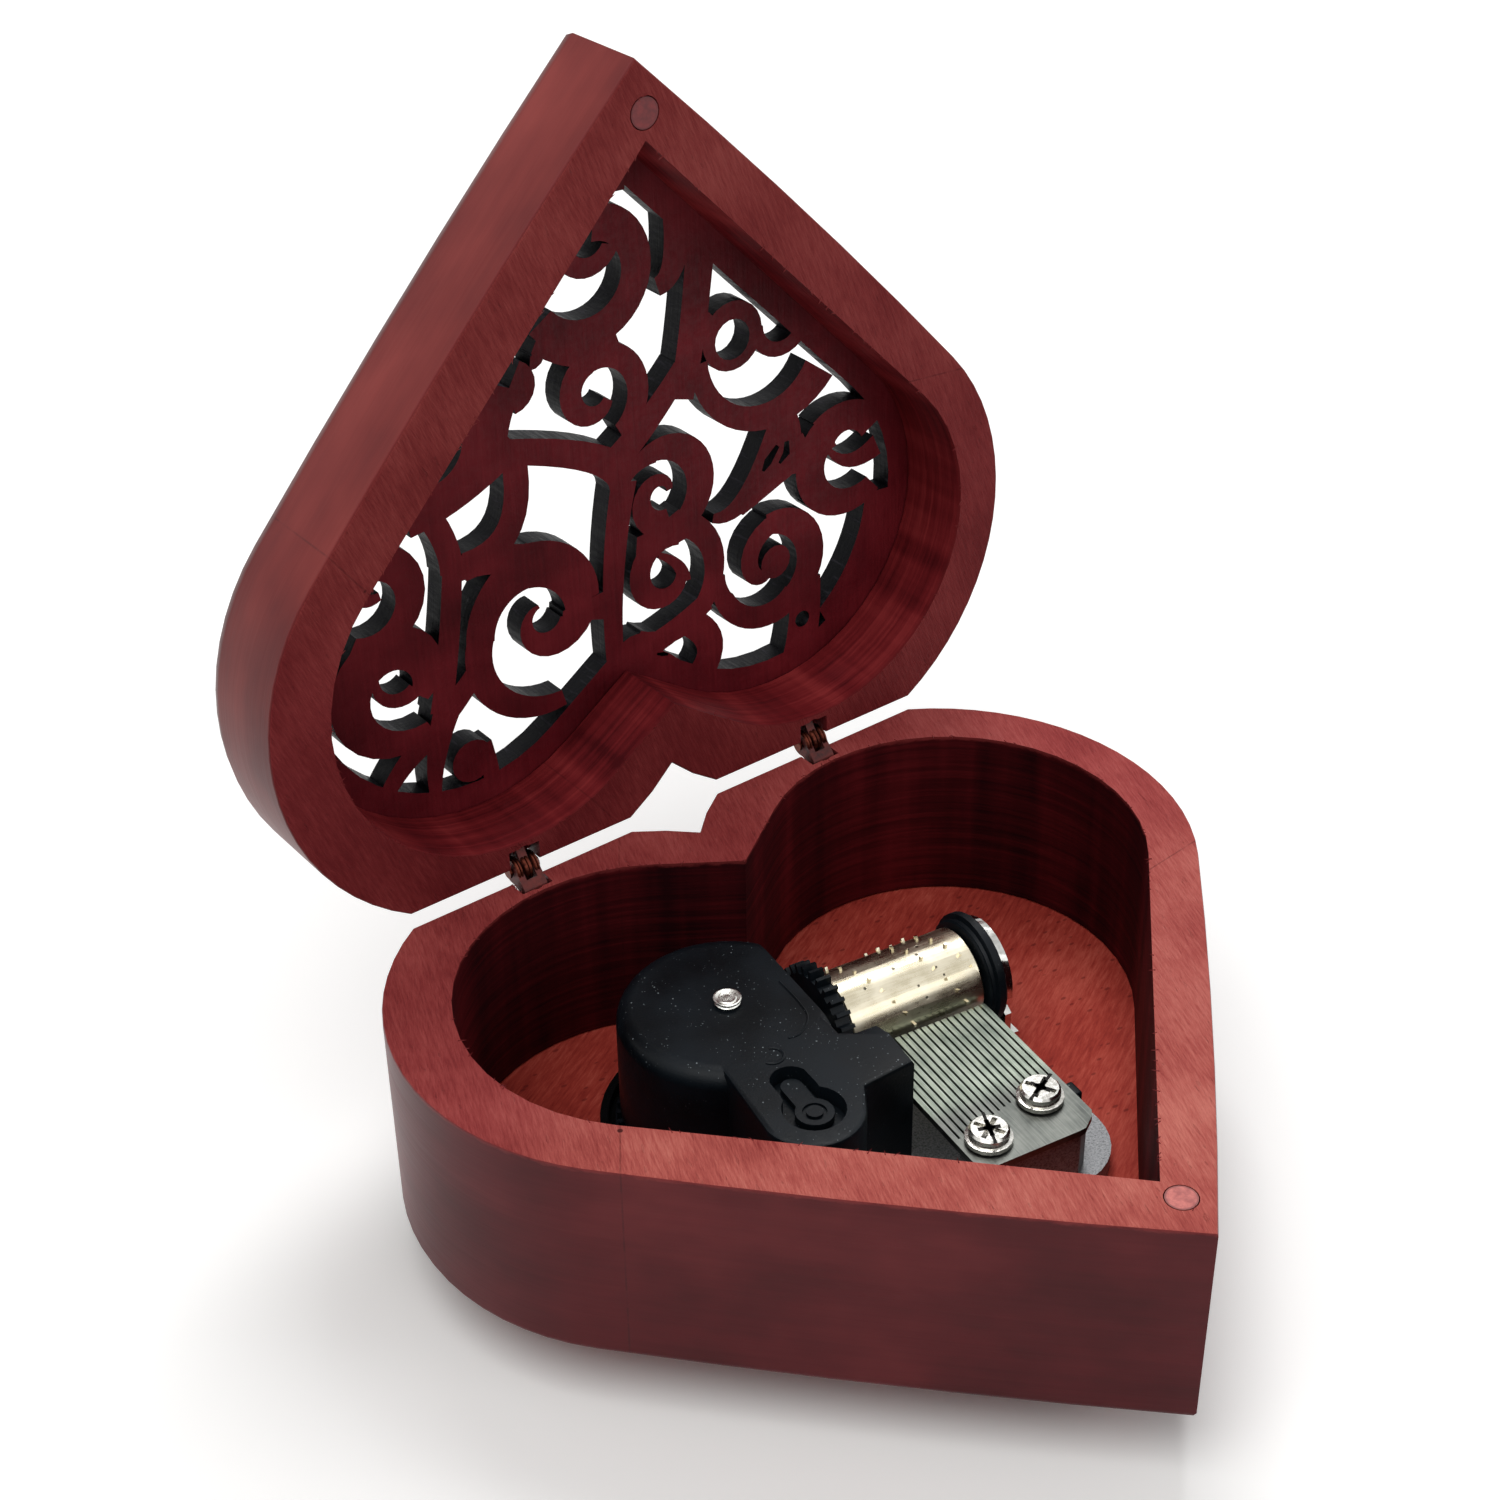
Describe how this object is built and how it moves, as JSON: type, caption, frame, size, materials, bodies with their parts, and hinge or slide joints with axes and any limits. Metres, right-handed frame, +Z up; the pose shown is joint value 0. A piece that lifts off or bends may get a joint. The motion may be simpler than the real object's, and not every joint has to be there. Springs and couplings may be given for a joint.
{
  "type": "wooden music box",
  "caption": "Heart-shaped wooden music box with an open scroll-fretwork lid and a spring-driven cylinder movement.",
  "frame": {"origin": "on the surface the feet stand on, under the middle of the part's bounding box", "axes": "+Z up, +X across the heart to the right, +Y from the heart's tip to the hinges"},
  "size_m": [0.1184, 0.1238, 0.1478],
  "materials": {
    "stained_wood": "red-brown stain under a thin satin varnish",
    "panel_wood": "dark red stain, cut edges scorched black",
    "floor_wood": "thin board with a lighter red stain",
    "rubber": "matt black",
    "hinge_brass": "antiqued",
    "magnet_metal": "stained over with the wood",
    "black_plastic": "satin black",
    "cast_metal": "as cast, speckled",
    "nickel": "warm nickel plating",
    "comb_steel": "ground and tempered",
    "chrome": "bright",
    "spring_steel": "blued",
    "brass": "plain",
    "screw_steel": "nickel-plated"
  },
  "bodies": {
    "case": {"base_frame": "stained_wood", "floor_board": "floor_wood", "base_magnet": "magnet_metal", "hinge_base_left": "hinge_brass", "hinge_base_right": "hinge_brass", "hinge_pin_left": "hinge_brass", "hinge_pin_right": "hinge_brass", "foot_front": "rubber", "foot_rear_left": "rubber", "foot_rear_right": "rubber", "foot_screw_front": "screw_steel", "foot_screw_rear_left": "screw_steel", "foot_screw_rear_right": "screw_steel", "bedplate": "cast_metal", "movement_screw_0": "screw_steel", "movement_screw_1": "screw_steel", "movement_screw_2": "screw_steel", "comb": "comb_steel", "comb_screw_0": "screw_steel", "comb_screw_1": "screw_steel", "spring_housing": "black_plastic", "governor_lever": "screw_steel", "mainspring": "spring_steel", "cylinder_bracket": "chrome"},
    "lid": {"lid_frame": "stained_wood", "fret_panel": "panel_wood", "lid_magnet": "magnet_metal", "hinge_lid_left": "hinge_brass", "hinge_lid_right": "hinge_brass"},
    "winder": {"winding_key": "brass", "winding_arbor": "brass", "great_wheel": "brass"},
    "cylinder_group": {"cylinder": "nickel", "cylinder_gear": "black_plastic", "end_flange": "black_plastic", "cylinder_shaft": "screw_steel"},
    "idler_group": {"idler_shaft": "screw_steel", "idler_pinion": "black_plastic", "worm_wheel": "black_plastic"},
    "governor_group": {"governor_worm": "black_plastic", "governor_fan": "black_plastic"}
  },
  "joints": [
    {"name": "lid_hinge", "type": "hinge", "parent": "case", "child": "lid", "pos_m": [0, 0.0439, 0.042], "axis": [1, 0, 0], "range_deg": [0, 91.6]},
    {"name": "winder_turn", "type": "hinge", "parent": "case", "child": "winder", "pos_m": [-0.0152, 0.01065, 0.0132], "axis": [0, 0, 1], "continuous": true},
    {"name": "cylinder_turn", "type": "hinge", "parent": "case", "child": "cylinder_group", "pos_m": [-0.0152, 0.01065, 0.0252], "axis": [0.9907, -0.1357, 0], "continuous": true},
    {"name": "idler_turn", "type": "hinge", "parent": "case", "child": "idler_group", "pos_m": [-0.0152, 0.01065, 0.02138], "axis": [0.1253, -0.9921, 0], "continuous": true},
    {"name": "governor_spin", "type": "hinge", "parent": "case", "child": "governor_group", "pos_m": [-0.01794, -0.01157, 0.0132], "axis": [0, 0, 1], "continuous": true}
  ],
  "couplings": [
    {"joint": "cylinder_turn", "follows": "winder_turn", "ratio": 1.6552},
    {"joint": "idler_turn", "follows": "winder_turn", "ratio": 3},
    {"joint": "governor_spin", "follows": "winder_turn", "ratio": 72}
  ]
}
